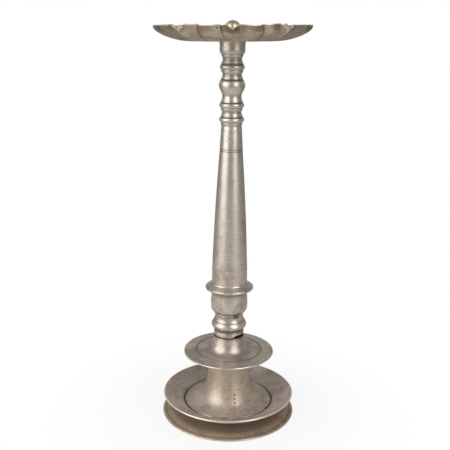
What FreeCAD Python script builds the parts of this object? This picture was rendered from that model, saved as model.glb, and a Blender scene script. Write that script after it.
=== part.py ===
import FreeCAD, Part
import math
import os

# Altar candlestick in the form of an eight-lipped lamp stand: turned sections stacked on a tie rod.
# Millimetres, +Z up. The origin is the centre of the foot, on the table. The front faces -Y.

# ---- driving dimensions -----------------------------------------------------------------------

RIM_Z = 450.7                 # rim of the dish above the table
DISH_LIP_R = 86.2             # axis to the tip of a wick lip
FOOT_R = 78.5
TRAY_R = 77.3
SAUCER_R = 52.95
FLANGE_R = 27.8

# parting faces, from the table upwards
TRAY_SEAT_Z = 9.4
PEDESTAL_SEAT_Z = 11.4
SAUCER_SEAT_Z = 73.8
NECK_RING_Z = 97.0
KNOP_Z = 104.4
COLLAR_WASHER_Z = 123.8
COLLAR_Z = 126.2
SHAFT_Z = 162.6
LOWER_SPOOL_Z = 353.3
BALL_Z = 368.9
UPPER_SPOOL_Z = 393.4
CUP_Z = 409.6
DISH_Z = 433.8

# tie rod and what it passes through
ROD_R = 4.0
THREAD_PITCH = 1.25
THREAD_DEPTH = 0.6
THREAD_BORE_R = ROD_R + 0.1
BORE_R = 4.5
ROD_BOTTOM_Z = 3.5

# registers: a spigot on top of one section enters a socket under the next
SPIGOT_H = 3.0
SOCKET_DEPTH = 3.4
REGISTER_GAP = 0.2
SLIM_SPIGOT_R = 7.4
STOUT_SPIGOT_R = 11.0
SHAFT_SPIGOT_R = 13.0

# dish
# degrees from the front towards +X; the lips were pinched by hand and aren't evenly spaced
LIP_TURNS = [-0.5, 41.8, 87.5, 133.0, 179.0, 225.0, 271.0, 318.0]
DISH_WALL = 2.0
DISH_HOLE_R = 9.4
NOTCH_WIDTH = 11.6
NOTCH_DEPTH = 4.3

# what clamps the stack in the hollow of the foot
FOOT_WELL_TOP_Z = 20.0
WASHER_T = 2.0
NUT_H = 6.4
NUT_FLATS = 13.0
LOCK_NUT_H = 4.0

# knob over the dish
GASKET_R = 12.5
GASKET_T = 1.2
KNOB_DOME_R = 9.3
KNOB_TOP_Z = 455.4

BIG = 400.0                   # larger than anything that is cut
UP = FreeCAD.Vector(0, 0, 1)
ORIGIN = FreeCAD.Vector(0, 0, 0)

os.makedirs("parts", exist_ok=True)


# ---- building blocks --------------------------------------------------------------------------

def at(r, z):
    """Point of an outline, in the half plane that is turned about the axis."""
    return FreeCAD.Vector(r, 0, z)


def outline_edges(start, steps):
    """Edges of an outline. A step of one point is a straight line to it, a step of two points is an
    arc through the first to the second, and a longer step is a smooth curve through all its points."""
    edges = []
    here = at(*start)
    for step in steps:
        points = [at(*point) for point in step]
        if len(points) == 1:
            edge = Part.LineSegment(here, points[0])
        elif len(points) == 2:
            edge = Part.Arc(here, points[0], points[1])
        else:
            edge = Part.BSplineCurve()
            edge.interpolate([here] + points)
        edges.append(edge.toShape())
        here = points[-1]
    return edges


def turn(start, steps):
    """Solid turned about the axis from an outline, which is closed by a straight line."""
    edges = outline_edges(start, steps)
    first = at(*start)
    last = at(*steps[-1][-1])
    edges.append(Part.LineSegment(last, first).toShape())
    face = Part.Face(Part.Wire(edges))
    return face.revolve(ORIGIN, UP, 360)


def core_side(bottom_z, top_z, socket_r, spigot_r, spigot_h=SPIGOT_H, chamber=()):
    """Inner side of a section, from its top face down to the roof of its socket: spigot, bore and an
    optional cast chamber. The line that closes the outline is the socket's wall."""
    spigot_top_z = top_z + spigot_h
    socket_roof_z = bottom_z + SOCKET_DEPTH
    return [
        [(spigot_r, top_z)],
        [(spigot_r, spigot_top_z)],
        [(BORE_R, spigot_top_z)],
        *[[point] for point in chamber],
        [(BORE_R, socket_roof_z)],
        [(socket_r + REGISTER_GAP, socket_roof_z)],
    ]


def groove(r, z, width=0.7, depth=0.35):
    """Fine V groove turned into a nearly upright wall."""
    return [[(r, z - width / 2)], [(r - depth, z)], [(r, z + width / 2)]]


def bead_steps(top_z, bead_r):
    """Band, small ring and chamfer that end a section at its top face."""
    return [
        [(11.75, top_z - 8.4)],
        [(12.1, top_z - 5.75)],
        [(11.9, top_z - 5.55)],
        [(12.3, top_z - 5.3)],
        [(bead_r, top_z - 3.0), (12.45, top_z - 0.5)],
        [(11.9, top_z)],
    ]


def flare_steps(bottom_z):
    """Chamfer and hollow flare that start a section at its bottom face."""
    return [
        [(12.35, bottom_z + 0.4)],
        [(11.7, bottom_z + 1.8), (11.4, bottom_z + 3.1)],
        [(11.1, bottom_z + 3.3)],
    ]


def polar(r, degrees, z):
    """Point at an angle from the front, counted towards +X."""
    angle = math.radians(degrees)
    return FreeCAD.Vector(r * math.sin(angle), -r * math.cos(angle), z)


def thread_steps(low_z, high_z):
    """V grooves of a thread along the outside of a rod, from low_z up to high_z."""
    steps = []
    count = int((high_z - low_z) / THREAD_PITCH)
    for i in range(count):
        z = low_z + i * THREAD_PITCH
        steps.append([(ROD_R - THREAD_DEPTH, z + 0.5 * THREAD_PITCH)])
        steps.append([(ROD_R, z + 0.95 * THREAD_PITCH)])
        steps.append([(ROD_R, z + THREAD_PITCH)])
    return steps


# ---- foot, tray and pedestal --------------------------------------------------------------------

def make_base_foot():
    """Flared foot with a hollow underside. Its centre rises inside the pedestal to make room for the
    nuts."""
    return turn((74.6, 0.0), [
        [(FOOT_R - 0.5, 0.0)],
        [(FOOT_R, 0.5)],
        [(FOOT_R, 1.3)],
        [(FOOT_R - 0.6, 1.9)],
        [(74.9, 2.35)],
        [(74.6, 2.1)],
        [(74.2, 2.5)],
        [(66.0, 4.4), (57.5, 7.7)],
        [(54.6, TRAY_SEAT_Z - 0.3)],
        [(54.2, TRAY_SEAT_Z)],
        [(38.0, TRAY_SEAT_Z)],
        [(24.0, 13.0), (18.0, FOOT_WELL_TOP_Z + 2.6)],
        [(16.6, FOOT_WELL_TOP_Z + 3.6)],
        [(BORE_R, FOOT_WELL_TOP_Z + 3.6)],
        [(BORE_R, FOOT_WELL_TOP_Z)],
        [(14.8, FOOT_WELL_TOP_Z)],
        [(20.5, 10.4), (36.0, 6.8)],
        [(52.0, 6.8)],
        [(64.0, 2.9), (73.6, 0.6)],
    ])


def make_drip_tray():
    """Sloped ring wall with a narrow floor, which the pedestal's disc holds down."""
    return turn((44.0, TRAY_SEAT_Z), [
        [(54.3, TRAY_SEAT_Z)],
        [(66.0, 15.6), (76.4, 22.7)],
        [(77.1, 23.1)],
        [(TRAY_R, 23.7)],
        [(77.1, 24.5), (76.3, 24.9)],
        [(75.7, 24.75)],
        [(65.5, 18.9), (54.4, 14.7)],
        [(53.2, 13.7)],
        [(53.2, PEDESTAL_SEAT_Z)],
        [(44.0, PEDESTAL_SEAT_Z)],
    ])


def make_pedestal():
    """Trumpet column. Its foot spreads into a disc that leaves a dark crease round the tray floor."""
    top = SAUCER_SEAT_Z
    outer = [
        [(50.9, PEDESTAL_SEAT_Z)],
        [(51.6, 12.2)],
        [(51.7, 13.5)],
        [(51.0, 14.3)],
        [(45.0, 15.1), (38.6, 17.0), (32.6, 21.4), (28.7, 28.6), (25.2, 42.0), (23.7, 58.0)],
        [(23.4, top - 2.6)],
        [(23.9, top - 2.2)],
        [(24.3, top - 0.4)],
        [(23.9, top)],
    ]
    inner = [
        [(STOUT_SPIGOT_R, top)],
        [(STOUT_SPIGOT_R, top + SPIGOT_H)],
        [(BORE_R, top + SPIGOT_H)],
        [(BORE_R, top - 5.0)],
        [(12.0, top - 6.0)],
        [(19.6, top - 14.0)],
        [(20.0, 50.0)],
        [(25.6, 26.0), (32.0, 16.2)],
    ]
    return turn((40.0, PEDESTAL_SEAT_Z), outer + inner)


def make_saucer():
    """Thin disc under a small trumpet cone, with a double ring cut round its upper face."""
    ring_r = 37.7
    ring_z = 78.25
    outer = [
        [(30.0, SAUCER_SEAT_Z + 0.3)],
        [(52.3, 75.3)],
        [(SAUCER_R, 75.7)],
        [(SAUCER_R, 76.6)],
        [(52.5, 77.15)],
        [(ring_r + 1.5, ring_z - 0.05)],
        [(ring_r + 1.2, ring_z - 0.35)],
        [(ring_r + 0.9, ring_z)],
        [(ring_r, ring_z)],
        [(ring_r - 0.3, ring_z - 0.3)],
        [(ring_r - 0.6, ring_z + 0.05)],
        [(31.0, 78.75)],
        [(27.0, 79.5), (23.2, 82.2), (20.6, 86.8), (18.9, 92.0), (18.0, NECK_RING_Z - 0.6)],
        [(17.4, NECK_RING_Z)],
    ]
    return turn((STOUT_SPIGOT_R + REGISTER_GAP, SAUCER_SEAT_Z), [[(23.9, SAUCER_SEAT_Z)]] + outer
                + core_side(SAUCER_SEAT_Z, NECK_RING_Z, STOUT_SPIGOT_R, STOUT_SPIGOT_R))


# ---- knop, collar and their rings ---------------------------------------------------------------

def make_neck_ring():
    """Plain ring whose lower edge is worn away towards the right, so that the seam gapes there."""
    bottom = NECK_RING_Z
    ring = turn((STOUT_SPIGOT_R + REGISTER_GAP, bottom), [
        [(17.2, bottom)],
        [(17.55, bottom + 0.5)],
        [(17.45, KNOP_Z - 0.6)],
        [(17.0, KNOP_Z)],
    ] + core_side(bottom, KNOP_Z, STOUT_SPIGOT_R, STOUT_SPIGOT_R))
    wear = Part.makeBox(BIG, BIG, 2.0, FreeCAD.Vector(-BIG / 2, -BIG / 2, -2.0))
    wear.rotate(ORIGIN, polar(1.0, -32.0, 0.0), 3.2)
    wear.translate(FreeCAD.Vector(0, 0, bottom + 0.25))
    kept_core = Part.makeCylinder(15.4, BIG, at(0, 0), UP)
    chip = Part.makeSphere(2.6, polar(17.6, 62.0, bottom + 0.8))
    return ring.cut(wear.cut(kept_core)).cut(chip)


def make_lower_knop():
    """Angular knop with a fine line on its upper slope, between two short necks."""
    bottom = KNOP_Z
    top = COLLAR_WASHER_Z
    return turn((STOUT_SPIGOT_R + REGISTER_GAP, bottom), [
        [(16.8, bottom)],
        [(17.15, bottom + 0.4)],
        [(17.2, bottom + 2.0)],
        [(19.0, bottom + 2.9)],
        [(20.1, bottom + 4.6), (20.5, bottom + 6.7)],
        [(20.2, bottom + 7.7), (19.5, bottom + 9.1)],
        [(18.6, bottom + 10.8)],
        [(18.15, bottom + 11.1)],
        [(18.2, bottom + 11.6)],
        [(17.4, bottom + 13.2), (16.5, bottom + 15.4)],
        [(16.4, top - 0.5)],
        [(16.0, top)],
    ] + core_side(bottom, top, STOUT_SPIGOT_R, STOUT_SPIGOT_R))


def make_collar_washer():
    """Thin ring under the cup, with a piece broken out of it at the front right."""
    bottom = COLLAR_WASHER_Z
    top = COLLAR_Z
    ring = turn((STOUT_SPIGOT_R + REGISTER_GAP, bottom), [
        [(16.6, bottom)],
        [(17.2, bottom + 0.4)],
        [(17.3, bottom + 1.2), (17.2, top - 0.5)],
        [(16.7, top)],
        [(STOUT_SPIGOT_R + REGISTER_GAP, top)],
    ])
    broken = Part.makePolygon([
        polar(14.2, 26.0, bottom - 1.0),
        polar(17.5, 22.0, bottom - 1.0),
        polar(18.8, 35.0, bottom - 1.0),
        polar(17.5, 49.0, bottom - 1.0),
        polar(14.2, 45.0, bottom - 1.0),
        polar(14.2, 26.0, bottom - 1.0),
    ])
    gap = Part.Face(broken).extrude(FreeCAD.Vector(0, 0, top - bottom + 2.0))
    return ring.cut(gap)


def make_collar_cup():
    """Barrel-shaped cup with a thin flange, the socket of the shaft."""
    bottom = COLLAR_Z
    top = SHAFT_Z
    chamber = [
        (BORE_R, top - 5.0),
        (12.5, top - 8.0),
        (15.0, 140.0),
        (9.0, bottom + 8.0),
        (BORE_R, bottom + 7.0),
    ]
    outer = [
        [(16.8, bottom)],
        [(17.8, bottom + 0.3)],
        [(20.1, bottom + 2.5), (21.15, bottom + 5.8)],
        [(21.35, bottom + 11.0), (20.85, bottom + 19.8)],
        [(20.75, 149.0)],
        [(22.0, 152.3), (26.7, 154.6)],
        [(FLANGE_R - 0.2, 155.1)],
        [(FLANGE_R, 155.7)],
        [(FLANGE_R, 156.6)],
        [(FLANGE_R - 0.3, 157.3)],
        [(24.8, 159.3), (21.6, 161.5)],
        [(21.3, top - 0.1)],
        [(20.9, top)],
    ]
    return turn((STOUT_SPIGOT_R + REGISTER_GAP, bottom), outer
                + core_side(bottom, top, STOUT_SPIGOT_R, SHAFT_SPIGOT_R, chamber=chamber))


# ---- shaft and the small turned sections above it -------------------------------------------------

def make_shaft():
    """Long column that swells downwards, with cut lines round it and a small ring at its head."""
    bottom = SHAFT_Z
    top = LOWER_SPOOL_Z
    line_z = 181.2
    low_pair_z = 315.8
    high_pair_z = 318.1
    chamber = [
        (BORE_R, top - 14.0),
        (7.0, top - 18.0),
        (15.2, 215.0),
        (16.2, bottom + 16.0),
        (BORE_R, bottom + 8.0),
    ]
    outer = [
        [(20.05, bottom)],
        [(20.35, bottom + 0.5)],
        [(20.37, 172.0)],
    ]
    outer += groove(20.26, line_z, width=0.6, depth=0.25)
    outer += [[(19.0, 213.0), (16.85, 256.5), (14.07, 300.0), (13.0, low_pair_z - 0.4)]]
    outer += [
        [(12.65, low_pair_z)],
        [(12.98, low_pair_z + 0.4)],
        [(12.9, high_pair_z - 0.4)],
        [(12.52, high_pair_z)],
        [(12.86, high_pair_z + 0.4)],
        [(11.45, 341.6)],
        [(11.2, 343.6), (11.3, top - 8.6)],
    ]
    outer += bead_steps(top, 13.95)
    return turn((SHAFT_SPIGOT_R + REGISTER_GAP, bottom), outer
                + core_side(bottom, top, SHAFT_SPIGOT_R, SLIM_SPIGOT_R, chamber=chamber))


def make_bead_spool(bottom, top, bead_r, cove_r):
    """Short turned section: flare, cove, band and ring."""
    outer = [[(11.9, bottom)]]
    outer += flare_steps(bottom)
    outer += [[(cove_r, (bottom + top) / 2 - 2.6), (11.1, top - 8.7)]]
    outer += bead_steps(top, bead_r)
    return turn((SLIM_SPIGOT_R + REGISTER_GAP, bottom), outer
                + core_side(bottom, top, SLIM_SPIGOT_R, SLIM_SPIGOT_R))


def make_ball_knop():
    """Ball that runs smoothly down into a cove over the same flare as the spools."""
    bottom = BALL_Z
    top = UPPER_SPOOL_Z
    outer = [[(11.9, bottom)]]
    outer += flare_steps(bottom)
    outer += [
        [(10.75, 374.0), (10.5, 376.0), (12.1, 380.6), (14.0, 384.8), (14.4, 387.5), (13.9, 390.3),
         (12.55, top - 0.5)],
        [(11.9, top)],
    ]
    return turn((SLIM_SPIGOT_R + REGISTER_GAP, bottom), outer
                + core_side(bottom, top, SLIM_SPIGOT_R, SLIM_SPIGOT_R))


def make_dish_cup():
    """Small cup that carries the dish, with two stepped lines over its neck."""
    bottom = CUP_Z
    top = DISH_Z
    outer = [[(11.9, bottom)]]
    outer += flare_steps(bottom)
    outer += [
        [(10.35, bottom + 5.2), (10.9, bottom + 7.2)],
        [(10.75, bottom + 7.5)],
        [(11.4, bottom + 7.9)],
        [(11.95, bottom + 10.3)],
        [(11.8, bottom + 10.6)],
        [(12.6, bottom + 11.0)],
        [(13.75, bottom + 13.6), (13.9, bottom + 17.5)],
        [(14.0, bottom + 21.0), (14.35, top)],
    ]
    return turn((SLIM_SPIGOT_R + REGISTER_GAP, bottom), outer
                + core_side(bottom, top, SLIM_SPIGOT_R, DISH_HOLE_R - REGISTER_GAP, DISH_WALL - 0.3))


# ---- dish ------------------------------------------------------------------------------------------

def lobe_section(z, tip_r, keel_share):
    """Closed outline of the dish at one height. Each lobe has a keel under its lip, two swelling
    panels and a sharp crease half way to the next lip."""
    half_keel = 5.4 + 3.4 * keel_share
    keel_root_r = tip_r - 1.2 - 0.9 * keel_share
    panel_r = tip_r - 0.5 - 0.4 * keel_share
    crease_r = tip_r - 1.2 - 0.4 * keel_share
    edges = []
    for here, onward in zip(LIP_TURNS, LIP_TURNS[1:] + [LIP_TURNS[0] + 360.0]):
        half_way = (here + onward) / 2
        tip = polar(tip_r, here, z)
        root = polar(keel_root_r, here + half_keel, z)
        middle = polar(panel_r, (here + half_keel + half_way) / 2, z)
        crease = polar(crease_r, half_way, z)
        next_middle = polar(panel_r, (half_way + onward - half_keel) / 2, z)
        next_root = polar(keel_root_r, onward - half_keel, z)
        next_tip = polar(tip_r, onward, z)
        edges.append(Part.LineSegment(tip, root).toShape())
        edges.append(Part.Arc(root, middle, crease).toShape())
        edges.append(Part.Arc(crease, next_middle, next_root).toShape())
        edges.append(Part.LineSegment(next_root, next_tip).toShape())
    return Part.Wire(edges)


def lobed_bowl(levels):
    """Solid lofted through lobed outlines; each level is a height and the lip radius there."""
    low_z = levels[0][0]
    rise = RIM_Z - low_z
    sections = [lobe_section(z, r, min(1.0, (z - low_z) / rise)) for z, r in levels]
    return Part.makeLoft(sections, True, False)


def make_dish():
    """Thin lobed dish with a pinched V lip over each keel."""
    outside = lobed_bowl([
        (DISH_Z, 46.0),
        (434.4, 55.0),
        (436.9, 66.0),
        (440.3, 75.2),
        (444.4, 82.2),
        (446.7, 84.6),
        (RIM_Z, DISH_LIP_R),
    ])
    inside = lobed_bowl([
        (DISH_Z + DISH_WALL, 45.0),
        (436.4, 54.6),
        (438.8, 65.3),
        (442.1, 74.3),
        (446.0, 80.9),
        (447.9, 82.9),
        (RIM_Z + 1.2, 84.6),
    ])
    dish = outside.cut(inside)
    notch = Part.Face(Part.makePolygon([
        FreeCAD.Vector(-NOTCH_WIDTH / 2, -60.0, RIM_Z),
        FreeCAD.Vector(0, -60.0, RIM_Z - NOTCH_DEPTH),
        FreeCAD.Vector(NOTCH_WIDTH / 2, -60.0, RIM_Z),
        FreeCAD.Vector(NOTCH_WIDTH / 2, -60.0, RIM_Z + 5.0),
        FreeCAD.Vector(-NOTCH_WIDTH / 2, -60.0, RIM_Z + 5.0),
        FreeCAD.Vector(-NOTCH_WIDTH / 2, -60.0, RIM_Z),
    ])).extrude(FreeCAD.Vector(0, -40.0, 0))
    for lip_turn in LIP_TURNS:
        one = notch.copy()
        one.rotate(ORIGIN, UP, lip_turn)
        dish = dish.cut(one)
    hole = Part.makeCylinder(DISH_HOLE_R, 10.0, at(0, DISH_Z - 3.0), UP)
    return dish.cut(hole)


# ---- knob, rod, gasket, washer and nuts ------------------------------------------------------------

def make_dish_gasket():
    """Leather washer between the dish and the knob."""
    bottom = DISH_Z + DISH_WALL
    return turn((BORE_R, bottom), [
        [(GASKET_R, bottom)],
        [(GASKET_R, bottom + GASKET_T)],
        [(BORE_R, bottom + GASKET_T)],
    ])


def make_dish_knob():
    """Domed knob on a waisted stem, screwed down over the end of the rod."""
    bottom = DISH_Z + DISH_WALL + GASKET_T
    dome_z = KNOB_TOP_Z - KNOB_DOME_R
    slant = KNOB_DOME_R * math.sqrt(0.5)
    return turn((THREAD_BORE_R, bottom), [
        [(11.0, bottom)],
        [(11.4, bottom + 0.5)],
        [(11.0, bottom + 1.2)],
        [(8.0, bottom + 2.2), (6.8, bottom + 4.4)],
        [(7.0, dome_z - 5.6)],
        [(8.7, dome_z - 3.3), (KNOB_DOME_R, dome_z)],
        [(slant, dome_z + slant), (0, KNOB_TOP_Z)],
        [(0, dome_z + 1.5)],
        [(THREAD_BORE_R, dome_z - 1.0)],
    ])


def make_tie_rod():
    """Rod through every section, with a thread at each end."""
    top = KNOB_TOP_Z - KNOB_DOME_R - 2.2
    low_thread_top = FOOT_WELL_TOP_Z + 6.0
    high_thread_bottom = top - 15.0
    steps = [[(ROD_R - THREAD_DEPTH, ROD_BOTTOM_Z)], [(ROD_R, ROD_BOTTOM_Z + THREAD_DEPTH)]]
    steps += thread_steps(ROD_BOTTOM_Z + THREAD_DEPTH, low_thread_top)
    steps += [[(ROD_R, high_thread_bottom)]]
    steps += thread_steps(high_thread_bottom, top - THREAD_DEPTH)
    steps += [[(ROD_R - THREAD_DEPTH, top)], [(0, top)]]
    return turn((0, ROD_BOTTOM_Z), steps)


def make_clamp_washer():
    """Large plain washer under the centre of the foot."""
    bottom = FOOT_WELL_TOP_Z - WASHER_T
    return turn((BORE_R, bottom), [
        [(11.6, bottom)],
        [(12.0, bottom + 0.4)],
        [(12.0, bottom + WASHER_T)],
        [(BORE_R, bottom + WASHER_T)],
    ])


def make_hex_nut(bottom, height):
    """Hexagon nut with chamfered corners."""
    corner_r = NUT_FLATS / math.sqrt(3)
    corners = [polar(corner_r, 60.0 * i, bottom) for i in range(7)]
    prism = Part.Face(Part.makePolygon(corners)).extrude(FreeCAD.Vector(0, 0, height))
    chamfer = 0.9
    rounded = turn((THREAD_BORE_R, bottom), [
        [(corner_r - chamfer, bottom)],
        [(corner_r, bottom + chamfer / 2)],
        [(corner_r, bottom + height - chamfer / 2)],
        [(corner_r - chamfer, bottom + height)],
        [(THREAD_BORE_R, bottom + height)],
    ])
    return rounded.common(prism)


# ---- write every piece -------------------------------------------------------------------------------

clamp_nut_z = FOOT_WELL_TOP_Z - WASHER_T - NUT_H
pieces = {
    "base_foot": make_base_foot(),
    "drip_tray": make_drip_tray(),
    "pedestal": make_pedestal(),
    "saucer": make_saucer(),
    "neck_ring": make_neck_ring(),
    "lower_knop": make_lower_knop(),
    "collar_washer": make_collar_washer(),
    "collar_cup": make_collar_cup(),
    "shaft": make_shaft(),
    "lower_bead_spool": make_bead_spool(LOWER_SPOOL_Z, BALL_Z, 13.75, 10.65),
    "ball_knop": make_ball_knop(),
    "upper_bead_spool": make_bead_spool(UPPER_SPOOL_Z, CUP_Z, 13.65, 10.45),
    "dish_cup": make_dish_cup(),
    "dish": make_dish(),
    "dish_gasket": make_dish_gasket(),
    "dish_knob": make_dish_knob(),
    "tie_rod": make_tie_rod(),
    "clamp_washer": make_clamp_washer(),
    "clamp_nut": make_hex_nut(clamp_nut_z, NUT_H),
    "lock_nut": make_hex_nut(clamp_nut_z - LOCK_NUT_H, LOCK_NUT_H),
}

for name, shape in pieces.items():
    if not shape.isValid() or len(shape.Solids) != 1:
        raise ValueError(f"{name} is not one valid solid")
    shape.Solids[0].exportStep(f"parts/{name}.step")
    print(f"{name}: {shape.Volume / 1000:.1f} cm3")
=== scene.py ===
import math

import bmesh
import bpy
import numpy as np
from mathutils import Matrix, Vector, noise


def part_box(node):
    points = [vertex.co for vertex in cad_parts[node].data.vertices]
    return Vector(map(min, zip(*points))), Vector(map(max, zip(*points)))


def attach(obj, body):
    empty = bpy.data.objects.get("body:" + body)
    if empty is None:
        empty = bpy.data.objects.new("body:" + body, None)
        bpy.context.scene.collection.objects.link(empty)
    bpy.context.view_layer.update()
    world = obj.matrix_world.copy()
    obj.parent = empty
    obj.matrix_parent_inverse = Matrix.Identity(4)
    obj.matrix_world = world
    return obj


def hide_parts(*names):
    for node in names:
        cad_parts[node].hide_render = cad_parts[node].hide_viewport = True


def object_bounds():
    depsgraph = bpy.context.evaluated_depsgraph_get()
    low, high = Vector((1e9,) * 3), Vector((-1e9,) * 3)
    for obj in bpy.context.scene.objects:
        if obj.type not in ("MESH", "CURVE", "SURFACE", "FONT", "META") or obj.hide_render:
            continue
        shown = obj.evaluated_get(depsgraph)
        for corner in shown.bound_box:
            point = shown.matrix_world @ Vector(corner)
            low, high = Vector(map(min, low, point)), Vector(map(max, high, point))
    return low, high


# Looks of the eight-lipped lamp stand: worn, hand-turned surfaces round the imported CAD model.
# Metres, the CAD frame: +Z up, the origin at the centre of the foot, the front faces -Y.

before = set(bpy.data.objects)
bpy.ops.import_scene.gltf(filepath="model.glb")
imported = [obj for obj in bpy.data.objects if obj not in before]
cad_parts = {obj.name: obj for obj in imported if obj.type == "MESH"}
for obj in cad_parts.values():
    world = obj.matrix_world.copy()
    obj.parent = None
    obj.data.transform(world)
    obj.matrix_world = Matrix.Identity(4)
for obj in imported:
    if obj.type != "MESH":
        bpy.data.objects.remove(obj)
cad_low, cad_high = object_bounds()

MM = 0.001

# turned pieces that get a worn surface, and the material slot of each
TURNED = {
    "base_foot": "foot_bronze",
    "drip_tray": "tinned_bronze",
    "pedestal": "tinned_bronze",
    "saucer": "tinned_bronze",
    "lower_knop": "tinned_bronze",
    "collar_cup": "tinned_bronze",
    "shaft": "tinned_bronze",
    "lower_bead_spool": "tinned_bronze",
    "ball_knop": "tinned_bronze",
    "upper_bead_spool": "tinned_bronze",
    "dish_cup": "tinned_bronze",
    "dish_knob": "dish_bronze",
}

# how an outline is resampled
CORNER_TURN = math.radians(10.5)    # a sharper bend of the outline is an edge
STRAIGHT_TURN = math.radians(0.06)  # a stretch that bends less than this is straight
EDGE_ROUND = 0.36 * MM              # how far edges are worn round
EDGE_SHARE = 0.35                   # the most of a short stretch that is worn off at an end
CURVED_STEP = 0.9 * MM
STRAIGHT_STEP = 3.0 * MM
FACET_WIDTH = 1.6 * MM              # round the axis
FEWEST_FACETS = 128
BAND_STEP = 1.5                     # degrees round the axis, on the rings with a broken edge

# irregular surface
WANDER = 0.10 * MM                  # how far a hand-turned wall strays inwards
WANDER_SIZE = 26.0 * MM
SEAM_REACH = 0.62 * MM              # half the width of the dark line at a parting face
PATINA_SPREAD = 4.5                 # how much wider the brown border of a line, patina and painted shade, is than the line
JOINT_DEPTH = 3.4 * MM              # how far a register reaches into the next section
JOINT_RIM = 4.0 * MM                # a register lies at least this far inside the parting line
# dark lines that aren't parting faces: radius, height, half width and strength
CUT_LINES = [
    (51.9 * MM, 13.7 * MM, 1.60 * MM, 0.52),     # painted shade in the crease between the pedestal's disc and the tray
    (37.3 * MM, 78.1 * MM, 0.30 * MM, 0.68),     # double ring on the saucer
    (39.1 * MM, 78.0 * MM, 0.30 * MM, 0.68),
    (74.6 * MM, 2.2 * MM, 0.50 * MM, 0.60),      # line near the edge of the foot
    (20.1 * MM, 181.2 * MM, 0.36 * MM, 0.30),    # lines round the shaft
    (12.65 * MM, 315.8 * MM, 0.38 * MM, 0.65),
    (12.5 * MM, 318.1 * MM, 0.38 * MM, 0.65),
    (18.2 * MM, 115.4 * MM, 0.35 * MM, 0.55),    # step on the knop
    (17.2 * MM, 106.6 * MM, 0.60 * MM, 0.80),    # under the knop
]
# black patches: degrees from the front, from and to, and the heights between which it lies
BLOTS = [
    (15.0, 40.0, 121.6 * MM, 128.0 * MM),        # painted shade in the gap beside the broken ring under the cup
    (12.0, 19.0, 106.6 * MM, 108.6 * MM),        # under the knop
]
# casting holes and black specks, by slot: degrees from the front, radius, height and size
PITS = {
    "tinned_bronze": [
        (15.4, 27.9 * MM, 30.9 * MM, 0.95 * MM), (14.8, 29.7 * MM, 26.4 * MM, 1.15 * MM),
        (14.4, 31.8 * MM, 22.6 * MM, 0.95 * MM), (24.0, 26.2 * MM, 36.5 * MM, 0.60 * MM),
        (-150.0, 27.2 * MM, 33.0 * MM, 0.80 * MM), (118.0, 24.9 * MM, 44.0 * MM, 0.70 * MM),
        (-24.0, 21.2 * MM, 141.0 * MM, 0.45 * MM), (160.0, 21.3 * MM, 136.0 * MM, 0.70 * MM)],
    "dish_bronze": [
        (-12.6, 83.5 * MM, 448.8 * MM, 1.1 * MM), (-11.2, 82.9 * MM, 447.2 * MM, 1.2 * MM),
        (-10.4, 83.7 * MM, 449.4 * MM, 1.0 * MM), (1.6, 81.9 * MM, 445.2 * MM, 1.2 * MM),
        (2.8, 82.4 * MM, 446.4 * MM, 1.1 * MM)],
}
# painted shadow on the foot under the tray: brown inside the first radius, none from the second
SHADOW_UNDER_TRAY = {"base_foot": (62.0 * MM, 74.0 * MM)}
# how far a bent rim sags at its lowest
RIM_WARP = {"drip_tray": 0.35 * MM, "saucer": 0.25 * MM}

# the two thin rings
RING_BORE = 11.3 * MM
NECK_RING_R = 17.45 * MM
WASHER_R = 17.25 * MM

# dish: lips in degrees from the front towards +X, as they were pinched by hand
LIP_TURNS = [-0.5, 41.8, 87.5, 133.0, 179.0, 225.0, 271.0, 318.0]
DISH_TILT = math.radians(0.64)      # the right side sits a little high
DISH_WALL = 2.0 * MM
DISH_HOLE_R = 9.4 * MM
DISH_FLOOR_R = 44.0 * MM
HALF_LOBE = 22.5                    # degrees from a lip to a crease, if the lips stood evenly
NOTCH_HALF_WIDTH = 5.8 * MM
NOTCH_DEPTH = 4.3 * MM
# how far the crease after each lip strays from the middle, in degrees, at the rim and at the base
CREASE_LEANS = np.array([
    (-0.4, 5.4), (0.0, 3.0), (1.0, -3.0), (-1.0, 3.0), (0.0, -4.0), (1.0, 3.0), (0.0, -3.0), (-3.0, -9.8)])
COLUMNS_PER_LOBE = 56
# how far the rim rises over its level or falls below it, in millimetres, by degrees from the front
RIM_SWAY = np.array([
    (-180.0, 0.2), (-135.0, -0.3), (-90.0, 0.0), (-60.0, -0.1), (-44.0, 0.6), (-27.0, 1.0), (-21.0, 0.4),
    (-13.0, -0.5), (-6.0, 0.3), (6.0, 0.1), (13.0, -0.5), (20.0, 0.2), (28.0, 0.9), (39.0, 0.8),
    (48.0, -0.3), (60.0, 0.1), (90.0, 0.0), (135.0, 0.3), (180.0, 0.2)])


# ---- outlines of the turned pieces -----------------------------------------------------------

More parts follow.
